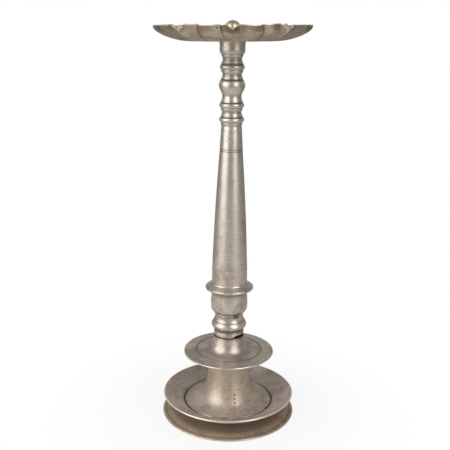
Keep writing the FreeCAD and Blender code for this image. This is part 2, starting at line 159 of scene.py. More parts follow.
def section(node):
    """Outline of a turned piece in the half plane through +X, as (radius, height) points in order.
    It is closed, or it starts and ends on the axis."""
    mesh = bmesh.new()
    mesh.from_mesh(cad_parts[node].data)
    bmesh.ops.remove_doubles(mesh, verts=mesh.verts, dist=1e-7)
    everything = mesh.verts[:] + mesh.edges[:] + mesh.faces[:]
    cut = bmesh.ops.bisect_plane(mesh, geom=everything, dist=1e-6, plane_co=(0, 0, 0), plane_no=(0, 1, 0))
    beside = {}
    for edge in cut["geom_cut"]:
        if not isinstance(edge, bmesh.types.BMEdge):
            continue
        one, other = edge.verts
        if min(one.co.x, other.co.x) > -1e-7 and max(one.co.x, other.co.x) > 1e-6:
            beside.setdefault(one, []).append(other)
            beside.setdefault(other, []).append(one)
    ends = [vert for vert in beside if len(beside[vert]) == 1]
    start = max(ends or beside, key=lambda vert: (vert.co.z, vert.co.x))
    chain = [start]
    while True:
        onward = [vert for vert in beside[chain[-1]] if vert not in chain[-2:] and vert is not start]
        if not onward:
            break
        chain.append(onward[0])
    points = np.array([(vert.co.x, vert.co.z) for vert in chain])
    mesh.free()
    return points, not ends


def turns_of(points):
    """How much the outline turns at each of its points."""
    before = points - np.roll(points, 1, axis=0)
    after = np.roll(points, -1, axis=0) - points
    cross = before[:, 0] * after[:, 1] - before[:, 1] * after[:, 0]
    return np.arctan2(cross, (before * after).sum(axis=1))


def fine_line(run):
    """Many points along the smooth curve through a run of points."""
    if len(run) == 2:
        return run
    chord = np.hypot(*np.diff(run, axis=0).T)
    place = np.concatenate([[0.0], np.cumsum(chord)])
    slope = np.gradient(run, place, axis=0, edge_order=2)
    pieces = []
    for i, length in enumerate(chord):
        t = np.linspace(0.0, 1.0, max(2, int(length / (0.1 * MM))), endpoint=False)[:, None]
        start, end = run[i], run[i + 1]
        leave, arrive = slope[i] * length, slope[i + 1] * length
        pieces.append((2 * t**3 - 3 * t**2 + 1) * start + (t**3 - 2 * t**2 + t) * leave
                      + (3 * t**2 - 2 * t**3) * end + (t**3 - t**2) * arrive)
    return np.vstack(pieces + [run[-1:]])


def resampled(points, closed):
    """The outline with smooth stretches divided evenly and every edge worn round."""
    turns = turns_of(points)
    if closed:
        corner = [i for i in range(len(points)) if abs(turns[i]) > CORNER_TURN]
        points = np.roll(points, -corner[0], axis=0)
        turns = np.roll(turns, -corner[0])
        points = np.vstack([points, points[:1]])
        turns = np.append(turns, turns[0])
    last = len(points) - 1
    corners = [0] + [i for i in range(1, last) if abs(turns[i]) > CORNER_TURN] + [last]
    lines = [fine_line(points[a:b + 1]) for a, b in zip(corners, corners[1:])]
    straight = [max(abs(turns[a + 1:b]), default=0.0) < STRAIGHT_TURN for a, b in zip(corners, corners[1:])]
    places = [np.concatenate([[0.0], np.cumsum(np.hypot(*np.diff(line, axis=0).T))]) for line in lines]
    lengths = [place[-1] for place in places]
    count = len(lines)

    def at(i, where):
        """Points on one stretch, at distances from its start."""
        return np.column_stack([np.interp(where, places[i], lines[i][:, k]) for k in (0, 1)])

    def worn_off(i, onward):
        """How far the edge between two stretches is worn into each."""
        return min(EDGE_ROUND, EDGE_SHARE * lengths[i], EDGE_SHARE * lengths[onward])

    made = []
    guard = 2.0 * EDGE_ROUND
    for i in range(count):
        onward = (i + 1) % count
        open_start = not closed and i == 0
        open_end = not closed and i == count - 1
        low = 0.0 if open_start else worn_off(i, i - 1)
        cut = 0.0 if open_end else worn_off(i, onward)
        high = lengths[i] - cut
        step = STRAIGHT_STEP if straight[i] else CURVED_STEP
        where = np.linspace(low, high, max(2, int((high - low) / step) + 1))
        if high - low > 3.0 * guard:
            where = np.unique(np.concatenate([where, [low + guard, high - guard]]))
        line = at(i, where)
        made.append(line)
        if not open_end:
            edge, leave = lines[i][-1], at(onward, cut)
            made += [(1 - t)**2 * line[-1] + 2 * t * (1 - t) * edge + t**2 * leave
                     for t in (0.25, 0.5, 0.75)]
    return np.vstack(made)


def bends(points, reach):
    """Hollow (positive) or ridge (negative) of the outline at each point, seen over a reach."""
    gaps = np.hypot(*(np.roll(points, -1, axis=0) - points).T)
    place = np.concatenate([[0.0], np.cumsum(gaps)])
    whole = place[-1]
    ring = np.vstack([points, points[:1]])

    def at(where):
        return np.column_stack([np.interp(where % whole, place, ring[:, k]) for k in (0, 1)])

    ahead = at(place[:-1] + reach)
    behind = at(place[:-1] - reach)
    along = ahead - behind
    length = np.maximum(np.hypot(*along.T), 1e-9)
    sag = (ahead + behind) / 2 - points
    return (along[:, 0] * sag[:, 1] - along[:, 1] * sag[:, 0]) / length / reach


# ---- mesh building ---------------------------------------------------------------------------

def smoothstep(low, high, value):
    """0 up to the low value, 1 from the high one, and a smooth step between."""
    t = np.clip((value - low) / (high - low), 0.0, 1.0)
    return t * t * (3 - 2 * t)


def wander(points, size, seed):
    """Smooth noise from 0 to 1 at each point."""
    shift = Vector((seed * 7.31, seed * 3.17, seed * 1.93))
    return np.array([0.5 + 0.5 * noise.noise(Vector(point) / size + shift) for point in points])


def new_piece(name, points, faces, slot, replaced, **marks):
    """Mesh object of the finished points, riding on the stand, that replaces its CAD node. Marks are
    the attributes that the materials read, from 0 to 1 at each point: dirt with painted shade, wear with
    painted highlight, and brown patina with painted shade."""
    mesh = bpy.data.meshes.new(name)
    mesh.from_pydata([tuple(point) for point in points], [], faces)
    mesh.validate()
    mesh.polygons.foreach_set("use_smooth", [True] * len(mesh.polygons))
    for label, values in marks.items():
        layer = mesh.attributes.new(label, "FLOAT", "POINT")
        layer.data.foreach_set("value", np.asarray(values, np.float32))
    mesh.update()
    mesh.materials.append(MATERIALS[slot])
    piece = bpy.data.objects.new(name, mesh)
    bpy.context.scene.collection.objects.link(piece)
    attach(piece, "root")
    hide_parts(replaced)


def ring_faces(first, second, count):
    """Quads between two rings of points, given by the index of their first point."""
    return [(first + i, first + (i + 1) % count, second + (i + 1) % count, second + i)
            for i in range(count)]


def line_marks(node, outline):
    """Dark lines, with painted shade on the joint faces inside each parting line, and the brown borders
    beside them, patina and painted shade, with painted shadow under the tray; from 0 to 1 at each point of
    an outline.
    """
    dark_lines_and_shade, border_and_shade = np.zeros(len(outline)), np.zeros(len(outline))
    for line_r, line_z, reach, strength in SEAMS + CUT_LINES:
        away = np.hypot(outline[:, 0] - line_r, outline[:, 1] - line_z)
        dark_lines_and_shade = np.maximum(dark_lines_and_shade, strength * np.exp(-(away / reach)**2))
        border_and_shade = np.maximum(border_and_shade, strength * np.exp(-(away / (PATINA_SPREAD * reach))**2))
    # painted shade: the joint faces and registers inside each parting line are made dark, for where a gap
    # shows them
    for seam_r, seam_z, _, _ in SEAMS:
        from_seam = abs(outline[:, 1] - seam_z)
        register = (outline[:, 0] < seam_r - JOINT_RIM) & (from_seam < JOINT_DEPTH)
        face = (outline[:, 0] < seam_r - 0.3 * MM) & (from_seam < 0.1 * MM)
        dark_lines_and_shade = np.maximum(dark_lines_and_shade, register | face)
    # painted shadow on the foot under the tray
    if node in SHADOW_UNDER_TRAY:
        border_and_shade = np.maximum(border_and_shade, 1.0 - smoothstep(*SHADOW_UNDER_TRAY[node], outline[:, 0]))
    return dark_lines_and_shade, border_and_shade


def swept(outline, closed, angle):
    """Points and faces of an outline turned round the axis, and how many points each ring has."""
    count = len(angle)
    points, faces, rings = [], [], []
    for r, z in outline:
        size = count if r > 1e-6 else 1
        rings.append((len(points), size))
        points += [(r * math.cos(a), r * math.sin(a), z) for a in angle[:size]]
    pairs = list(zip(rings, rings[1:]))
    if closed:
        pairs.append((rings[-1], rings[0]))
    for (one, one_size), (other, other_size) in pairs:
        if one_size == other_size:
            faces += ring_faces(one, other, count)
        elif one_size == 1:
            faces += [(one, other + (i + 1) % count, other + i) for i in range(count)]
        else:
            faces += [(other, one + i, one + (i + 1) % count) for i in range(count)]
    return np.array(points), faces, [size for _, size in rings]


def turned_piece(node, slot):
    """Worn copy of a turned CAD piece."""
    outline, closed = section(node)
    if turns_of(outline).sum() > 0 and closed:
        outline = outline[::-1]
    outline = resampled(outline, closed)
    count = max(FEWEST_FACETS, int(math.tau * outline[:, 0].max() / FACET_WIDTH))
    angle = np.linspace(0.0, math.tau, count, endpoint=False)
    points, faces, sizes = swept(outline, closed, angle)

    # dark in the hollows of the outline (packed dirt and painted shade), bright on its ridges (wear and
    # painted highlight), brown in its broad hollows (patina and painted shade)
    hollow = np.maximum(bends(outline, 0.6 * MM), 0.5 * bends(outline, 1.6 * MM))
    ridge = np.maximum(-bends(outline, 0.6 * MM), 0.0)
    soft = np.maximum(bends(outline, 4.5 * MM), 0.0)
    dark_lines_and_shade, border_and_shade = line_marks(node, outline)
    patchy = np.array([0.95 + 0.9 * ragged(math.degrees(a), 6.0, 5.0) for a in angle])
    patchy = np.concatenate([patchy[:size] for size in sizes])
    packed_dirt_and_shade = np.repeat(np.maximum(0.0, 1.5 * hollow), sizes)
    grime = np.clip(packed_dirt_and_shade + np.repeat(dark_lines_and_shade, sizes) * patchy, 0.0, 1.0)
    wear = np.repeat(np.minimum(1.0, 2.4 * ridge) * (1.0 - dark_lines_and_shade), sizes)
    patina = np.repeat(np.minimum(1.0, 2.0 * soft + 0.8 * border_and_shade), sizes)

    radius = np.maximum(np.hypot(points[:, 0], points[:, 1]), 1e-9)
    inwards = WANDER * wander(points, WANDER_SIZE, 1.0) * smoothstep(0.0, 6.0 * MM, radius)
    points[:, :2] *= (1.0 - inwards / radius)[:, None]
    if node in RIM_WARP:
        toward_rim = smoothstep(0.70, 1.0, radius / radius.max())
        around = np.arctan2(points[:, 1], points[:, 0])
        sag = 0.5 + 0.3 * np.sin(2 * around) + 0.2 * np.sin(3 * around)
        points[:, 2] -= RIM_WARP[node] * toward_rim * sag
    around = np.degrees(np.arctan2(points[:, 0], -points[:, 1]))
    # the listed patches are painted black: painted shade in the gap of the broken ring, and black under the
    # knop
    for start, end, low, high in BLOTS:
        inside = (around > start) & (around < end) & (points[:, 2] > low) & (points[:, 2] < high)
        grime[inside] = 1.0
    new_piece(f"{node}_worn", points, faces, slot, node, grime=grime, wear=wear, patina=patina)


def worn_band(node, slot, section_at):
    """Ring whose section changes round the axis. A section is a closed loop of radius, height, dirt with
    painted shade, and wear with painted highlight, with the same number of points at every angle."""
    angle = np.radians(np.arange(0.0, 360.0, BAND_STEP))
    sections = np.array([section_at(math.degrees(a)) for a in angle])
    count, around = len(angle), sections.shape[1]
    r, z = sections[:, :, 0], sections[:, :, 1]
    points = np.stack([r * np.sin(angle)[:, None], -r * np.cos(angle)[:, None], z], axis=2).reshape(-1, 3)
    faces = []
    for i in range(count):
        here, onward = i * around, (i + 1) % count * around
        faces += [(here + k, here + (k + 1) % around, onward + (k + 1) % around, onward + k)
                  for k in range(around)]
    grime, wear = sections[:, :, 2].ravel(), sections[:, :, 3].ravel()
    new_piece(f"{node}_worn", points, faces, slot, node, grime=grime, wear=wear, patina=0.5 * grime)


def ragged(degrees, grain, seed):
    """Uneven value from -1 to 1 along an edge that runs round the axis."""
    a = math.radians(degrees)
    return noise.noise(Vector((grain * math.cos(a), grain * math.sin(a), seed)))


def neck_ring_section(degrees):
    """Ring between the cone and the knop. Its lower edge is ragged and gapes at the front right. Its hidden
    faces and the faces in the gap are painted dark as shade, its groove is dark, and its edges are bright:
    wear and painted highlight.
    """
    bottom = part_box("neck_ring")[0].z
    top = bottom + 7.4 * MM
    core = NECK_RING_R - 2.25 * MM
    groove_r = NECK_RING_R - 0.5 * MM
    gap = float(smoothstep(17.0, 27.0, degrees) * (1.0 - smoothstep(63.0, 75.0, degrees)))
    chew = 0.60 + 0.70 * ragged(degrees, 7.0, 2.0) + gap * (2.7 + 0.9 * ragged(degrees, 16.0, 7.0))
    edge = bottom + max(0.05, chew) * MM
    groove = top - 1.5 * MM
    return [(RING_BORE, bottom, 1, 0), (core, bottom, 1, 0), (core, edge, 1, 0),
            (groove_r, edge + 0.05 * MM, 0.7, 0), (NECK_RING_R - 0.12 * MM, edge + 0.3 * MM, 0.2, 0.8),
            (NECK_RING_R, edge + 0.8 * MM, 0, 0.4), (NECK_RING_R + 0.05 * MM, (edge + groove) / 2, 0, 0),
            (NECK_RING_R, groove - 0.75 * MM, 0, 0.3), (groove_r, groove - 0.15 * MM, 0.8, 0),
            (groove_r, groove + 0.15 * MM, 0.8, 0), (NECK_RING_R - 0.05 * MM, groove + 0.75 * MM, 0, 0.6),
            (NECK_RING_R - 0.3 * MM, top - 0.3 * MM, 0.7, 0.2),
            (NECK_RING_R - 0.8 * MM, top, 1, 0), (RING_BORE, top, 1, 0)]


def collar_washer_section(degrees):
    """Thin ring under the cup. A piece is broken out of it at the front right, and the break is painted
    dark as shade; its hidden faces are painted dark too, and its edges bright: wear and painted highlight.
    """
    low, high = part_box("collar_washer")
    gone = smoothstep(16.5, 19.0, degrees) * (1.0 - smoothstep(40.0, 45.0, degrees))
    bite = float(gone) * (2.5 + 0.8 * ragged(degrees, 22.0, 3.0))
    outside = WASHER_R + (0.06 * ragged(degrees, 7.0, 9.0) - bite) * MM
    shade_in_break = min(1.0, bite)
    middle = (low.z + high.z) / 2
    return [(RING_BORE, low.z, 1, 0), (outside - 0.6 * MM, low.z, 1, 0),
            (outside - 0.12 * MM, low.z + 0.45 * MM, max(0.75, shade_in_break), 0.3),
            (outside, middle - 0.3 * MM, shade_in_break, 0.8), (outside, middle + 0.3 * MM, shade_in_break, 0.8),
            (outside - 0.12 * MM, high.z - 0.5 * MM, max(0.75, shade_in_break), 0.3),
            (outside - 0.6 * MM, high.z, 1, 0), (RING_BORE, high.z, 1, 0)]


# ---- materials -------------------------------------------------------------------------------

class Graph:
    """Adds and links the shader nodes of one material or world."""

    def __init__(self, owner):
        owner.use_nodes = True
        self.tree = owner.node_tree
        self.tree.nodes.clear()

    def add(self, kind, **settings):
        node = self.tree.nodes.new(kind)
        for key, value in settings.items():
            setattr(node, key, value)
        return node

    def link(self, source, target):
        if isinstance(source, bpy.types.NodeSocket):
            self.tree.links.new(source, target)
        else:
            target.default_value = source

    def maths(self, operation, *values, clamp=False):
        node = self.add("ShaderNodeMath", operation=operation, use_clamp=clamp)
        for value, socket in zip(values, node.inputs):
            self.link(value, socket)
        return node.outputs[0]

    def centred(self, value, scale):
        """A value from 0 to 1, moved to lie round 0 and scaled."""
        return self.maths("MULTIPLY", self.maths("SUBTRACT", value, 0.5), scale)

    def ramp(self, value, low, high, to_low=0.0, to_high=1.0):
        """Smooth step of a value, clamped."""
        node = self.add("ShaderNodeMapRange", interpolation_type="SMOOTHSTEP")
        for source, label in ((value, "Value"), (low, "From Min"), (high, "From Max"),
                              (to_low, "To Min"), (to_high, "To Max")):
            self.link(source, node.inputs[label])
        return node.outputs["Result"]

    def mix(self, factor, one, other):
        """Mixture of two colours."""
        node = self.add("ShaderNodeMix", data_type="RGBA")
        sides = [socket for socket in node.inputs if socket.type == "RGBA"]
        self.link(factor, node.inputs[0])
        self.link(one if isinstance(one, bpy.types.NodeSocket) else (*one, 1.0), sides[0])
        self.link(other if isinstance(other, bpy.types.NodeSocket) else (*other, 1.0), sides[1])
        return [socket for socket in node.outputs if socket.type == "RGBA"][0]

    def noise(self, vector, scale, detail=3.0, rough=0.5, distortion=0.0, w=None):
        node = self.add("ShaderNodeTexNoise", noise_dimensions="3D" if w is None else "4D")
        self.link(vector, node.inputs["Vector"])
        if w is not None:
            self.link(w, node.inputs["W"])
        for label, value in (("Scale", scale), ("Detail", detail), ("Roughness", rough),
                             ("Distortion", distortion)):
            self.link(value, node.inputs[label])
        return node.outputs["Fac"]

    def attribute(self, name):
        return self.add("ShaderNodeAttribute", attribute_name=name).outputs["Fac"]

    def bump(self, height, distance, strength=1.0, below=None):
        node = self.add("ShaderNodeBump")
        self.link(height, node.inputs["Height"])
        self.link(distance, node.inputs["Distance"])
        self.link(strength, node.inputs["Strength"])
        if below is not None:
            self.link(below, node.inputs["Normal"])
        return node.outputs["Normal"]

    def place(self):
        """Position on the object, its distance from the axis, and a vector for turning marks."""
        where = self.add("ShaderNodeTexCoord").outputs["Object"]
        split = self.add("ShaderNodeSeparateXYZ")
        self.link(where, split.inputs[0])
        x, y, z = split.outputs
        squares = self.maths("MULTIPLY_ADD", x, x, self.maths("MULTIPLY", y, y))
        r = self.maths("SQRT", squares)
        safe = self.maths("MAXIMUM", r, 1e-4)
        marks = self.add("ShaderNodeCombineXYZ")
        self.link(self.maths("DIVIDE", x, safe), marks.inputs[0])
        self.link(self.maths("DIVIDE", y, safe), marks.inputs[1])
        return where, r, z, marks


def new_material(name):
    """Material with a Principled shader: the material, its graph and the shader node."""
    material = bpy.data.materials.new(name)
    graph = Graph(material)
    shader = graph.add("ShaderNodeBsdfPrincipled")
    output = graph.add("ShaderNodeOutputMaterial")
    graph.link(shader.outputs["BSDF"], output.inputs["Surface"])
    return material, graph, shader


def turning_marks(graph, marks, r, z, pitch, along):
    """Noise drawn out round the axis, as a lathe tool leaves it."""
    stretched = graph.add("ShaderNodeVectorMath", operation="MULTIPLY_ADD")
    graph.link(marks.outputs[0], stretched.inputs[0])
    stretched.inputs[1].default_value = (along, along, 0.0)
    depth = graph.add("ShaderNodeCombineXYZ")
    graph.link(graph.maths("MULTIPLY", r, 1.0 / pitch), depth.inputs[2])
    graph.link(depth.outputs[0], stretched.inputs[2])
    return graph.noise(stretched.outputs[0], 1.0, 3.0, 0.6, w=graph.maths("MULTIPLY", z, 1.0 / pitch))


def casting_holes(graph, where, name):
    """Small pits in patches, and the single holes and specks listed for the material."""
    cells = graph.add("ShaderNodeTexVoronoi")
    graph.link(where, cells.inputs["Vector"])
    cells.inputs["Scale"].default_value = 300.0
    patches = graph.ramp(graph.noise(where, 48.0, 3.0), 0.58, 0.70)
    pit = graph.maths("MULTIPLY", graph.ramp(cells.outputs["Distance"], 0.11, 0.22, 1.0, 0.0), patches)
    for degrees, radius, height, size in PITS.get(name, ()):
        a = math.radians(degrees)
        away = graph.add("ShaderNodeVectorMath", operation="DISTANCE")
        graph.link(where, away.inputs[0])
        away.inputs[1].default_value = (radius * math.sin(a), -radius * math.cos(a), height)
        hole = graph.ramp(away.outputs["Value"], 0.6 * size, 1.15 * size, 1.0, 0.0)
        pit = graph.maths("MAXIMUM", pit, hole)
    return pit


def aged_bronze(name, bright, tarnish, olive, rosy, dirt_and_shade, tarnish_share, rough):
    """Tinned or bare bronze turned on a lathe: turning marks, tarnish in blotches, dirt and painted shade
    in the hollows, seams and gaps, a brown border beside them that is patina and painted shade, bright
    edges of wear and painted highlight, and casting pits."""
    material, graph, shader = new_material(name)
    where, r, z, marks = graph.place()
    turning = turning_marks(graph, marks, r, z, 1.3 * MM, 1.6)
    hairs = turning_marks(graph, marks, r, z, 0.30 * MM, 5.0)
    blotch = graph.noise(where, 38.0, 6.0, 0.62, 0.4)
    streaks = graph.noise(marks.outputs[0], 3.2, 3.0, 0.6)
    clouds = graph.noise(where, 27.0, 4.0)
    mottle = graph.noise(where, 240.0, 5.0, 0.65)
    grain = graph.noise(where, 900.0, 3.0, 0.6)
    crumbs = graph.noise(where, 520.0, 4.0, 0.7)
    grime, wear, patina = (graph.attribute(label) for label in ("grime", "wear", "patina"))

    # tarnish in blotches, less of it and less pink on the upper shaft and the spools
    head = graph.maths("MULTIPLY", graph.ramp(z, 0.16, 0.33), graph.ramp(r, 0.030, 0.034, 1.0, 0.0))
    soiled = graph.ramp(graph.maths("ADD", blotch, graph.centred(mottle, 0.33)),
                        0.66 - 0.24 * tarnish_share, 0.86 - 0.24 * tarnish_share)
    soiled = graph.maths("MULTIPLY", soiled, graph.maths("MULTIPLY_ADD", head, -0.65, 1.0))
    tint = graph.maths("MULTIPLY_ADD", streaks, 0.5, graph.maths("MULTIPLY", clouds, 0.5))
    pink = graph.maths("MULTIPLY", graph.ramp(tint, 0.43, 0.53),
                       graph.maths("MULTIPLY_ADD", head, -0.7, 1.0))
    brown = graph.mix(graph.ramp(mottle, 0.38, 0.62), tarnish, graph.mix(pink, olive, rosy))
    low_down = graph.ramp(z, 0.03, 0.13, 0.40, 0.0)
    film = graph.maths("ADD", graph.maths("MULTIPLY", soiled, 0.85), low_down, clamp=True)
    surface = graph.mix(film, bright, brown)
    column = graph.maths("MULTIPLY", graph.ramp(z, 0.068, 0.076, 0.60, 0.0),
                         graph.ramp(r, 0.026, 0.040, 1.0, 0.0))
    surface = graph.mix(column, surface, WARM_COLUMN)

    # the brown border of a line and under the tray: patina, painted shade and painted shadow; dirt and
    # painted shade; bright edges: wear and painted highlight
    border_and_shade = graph.ramp(graph.maths("ADD", patina, graph.centred(mottle, 0.8)), 0.15, 0.95, 0.0, 0.80)
    surface = graph.mix(border_and_shade, surface, [0.62 * c for c in tarnish])
    ragged_edge = graph.centred(crumbs, 0.9)
    packed_dirt_and_shade = graph.ramp(graph.maths("ADD", grime, ragged_edge), 0.32, 0.80)
    surface = graph.mix(packed_dirt_and_shade, surface, dirt_and_shade)
    worn_and_highlit = graph.ramp(graph.maths("ADD", wear, ragged_edge), 0.35, 0.85)
    surface = graph.mix(graph.maths("MULTIPLY", worn_and_highlit, 0.8), surface, [min(1.0, 1.22 * c) for c in bright])
    pit = casting_holes(graph, where, name)
    surface = graph.mix(graph.maths("MULTIPLY", pit, 0.92), surface, dirt_and_shade)

    # fine light and dark in the metal itself
    shade = graph.maths("MULTIPLY_ADD", turning, 0.42, graph.maths("MULTIPLY_ADD", grain, 0.66, 0.18))
    shade = graph.maths("MULTIPLY_ADD", mottle, 0.54, shade)
    tone = graph.add("ShaderNodeVectorMath", operation="SCALE")
    graph.link(surface, tone.inputs[0])
    graph.link(shade, tone.inputs["Scale"])
    graph.link(tone.outputs[0], shader.inputs["Base Color"])

    gloss = graph.maths("MULTIPLY_ADD", turning, 0.18, rough - 0.09)
    gloss = graph.maths("MULTIPLY_ADD", film, 0.08, gloss)
    gloss = graph.maths("MULTIPLY_ADD", packed_dirt_and_shade, 0.30, gloss)
    gloss = graph.maths("MULTIPLY_ADD", worn_and_highlit, -0.08, gloss, clamp=True)
    graph.link(gloss, shader.inputs["Roughness"])
    dull = graph.maths("MAXIMUM", graph.maths("MULTIPLY", packed_dirt_and_shade, 0.95),
                       graph.ramp(z, 0.015, 0.09, 0.50, 0.12))
    graph.link(graph.maths("SUBTRACT", 1.0, dull), shader.inputs["Metallic"])
    # the marks run round the axis, and highlights stretch across them
    shader.inputs["Anisotropic"].default_value = 0.38
    shader.inputs["Anisotropic Rotation"].default_value = 0.25
    around = graph.add("ShaderNodeTangent", direction_type="RADIAL", axis="Z")
    graph.link(around.outputs[0], shader.inputs["Tangent"])

    normal = None
    for height, distance, strength in ((turning, 0.10 * MM, 0.8), (hairs, 0.014 * MM, 0.6),
                                       (mottle, 0.16 * MM, 0.6), (grain, 0.035 * MM, 0.7),
                                       (graph.maths("SUBTRACT", 1.0, pit), 0.40 * MM, 0.9)):
        normal = graph.bump(height, distance, strength, normal)
    graph.link(normal, shader.inputs["Normal"])
    return material


WARM_COLUMN = (0.60, 0.475, 0.345)      # the pedestal, where the tin has worn off
MATERIALS = {
    "tinned_bronze": aged_bronze(
        "tinned_bronze", bright=(0.70, 0.633, 0.555), tarnish=(0.40, 0.32, 0.255), olive=(0.50, 0.44, 0.33),
        rosy=(0.58, 0.465, 0.425), dirt_and_shade=(0.022, 0.013, 0.008), tarnish_share=0.95, rough=0.36),
    "dish_bronze": aged_bronze(
        "dish_bronze", bright=(0.70, 0.60, 0.47), tarnish=(0.34, 0.25, 0.165), olive=(0.43, 0.385, 0.225),
        rosy=(0.55, 0.41, 0.345), dirt_and_shade=(0.065, 0.038, 0.020), tarnish_share=1.20, rough=0.38),
    "foot_bronze": aged_bronze(
        "foot_bronze", bright=(0.60, 0.485, 0.375), tarnish=(0.345, 0.26, 0.18), olive=(0.40, 0.33, 0.22),
        rosy=(0.42, 0.315, 0.235), dirt_and_shade=(0.034, 0.020, 0.012), tarnish_share=0.75, rough=0.36),
    "rod_steel": aged_bronze(
        "rod_steel", bright=(0.46, 0.45, 0.43), tarnish=(0.24, 0.20, 0.17), olive=(0.25, 0.22, 0.18),
        rosy=(0.30, 0.20, 0.15), dirt_and_shade=(0.06, 0.035, 0.02), tarnish_share=0.7, rough=0.40),
    "nut_brass": aged_bronze(
        "nut_brass", bright=(0.62, 0.49, 0.27), tarnish=(0.33, 0.24, 0.12), olive=(0.33, 0.28, 0.14),
        rosy=(0.42, 0.28, 0.17), dirt_and_shade=(0.05, 0.03, 0.015), tarnish_share=0.6, rough=0.36),
}


def leather():
    """Dark oiled leather with a fine pebbled grain and stains."""
    material, graph, shader = new_material("gasket_leather")
    where = graph.place()[0]
    cells = graph.add("ShaderNodeTexVoronoi", feature="DISTANCE_TO_EDGE")
    graph.link(where, cells.inputs["Vector"])
    cells.inputs["Scale"].default_value = 1500.0
    grain = graph.ramp(cells.outputs["Distance"], 0.0, 0.22)
    stain = graph.noise(where, 120.0, 4.0, 0.6)
    skin = graph.mix(stain, (0.10, 0.055, 0.03), (0.19, 0.11, 0.06))
    skin = graph.mix(graph.maths("MULTIPLY", grain, 0.5), (0.06, 0.035, 0.02), skin)
    graph.link(skin, shader.inputs["Base Color"])
    graph.link(graph.ramp(stain, 0.3, 0.7, 0.55, 0.75), shader.inputs["Roughness"])
    normal = graph.bump(grain, 0.08 * MM, 0.7)
    graph.link(graph.bump(stain, 0.1 * MM, 0.4, normal), shader.inputs["Normal"])
    return material


MATERIALS["gasket_leather"] = leather()


# ---- dish ------------------------------------------------------------------------------------

def dish_angles():
    """For each column: its turn from the front, its offset from its lip, its share of the way to the
    crease, which lip it belongs to, and how far its crease leans at the rim and at the base."""
    lips = LIP_TURNS + [LIP_TURNS[0] + 360.0]
    creases = [(one + other) / 2 for one, other in zip(lips, lips[1:])]
    turn, offset, share, lobe, lean = [], [], [], [], []
    half = COLUMNS_PER_LOBE // 2
    for i, lip in enumerate(LIP_TURNS):
        before = creases[i - 1] - (360.0 if i == 0 else 0.0)
        t = np.arange(half) / half
        for side, from_lip, spread, crease in ((-1, 1.0 - t, lip - before, i - 1),
                                               (1, t, creases[i] - lip, i)):
            turn.append(lip + side * from_lip * spread)
            offset.append(side * from_lip * spread)
            share.append(from_lip)
            lobe.append(np.full(half, i))
            lean.append(np.tile(CREASE_LEANS[crease], (half, 1)))
    return (np.concatenate(turn), np.radians(np.concatenate(offset)), np.concatenate(share),
            np.concatenate(lobe), np.vstack(lean).T)


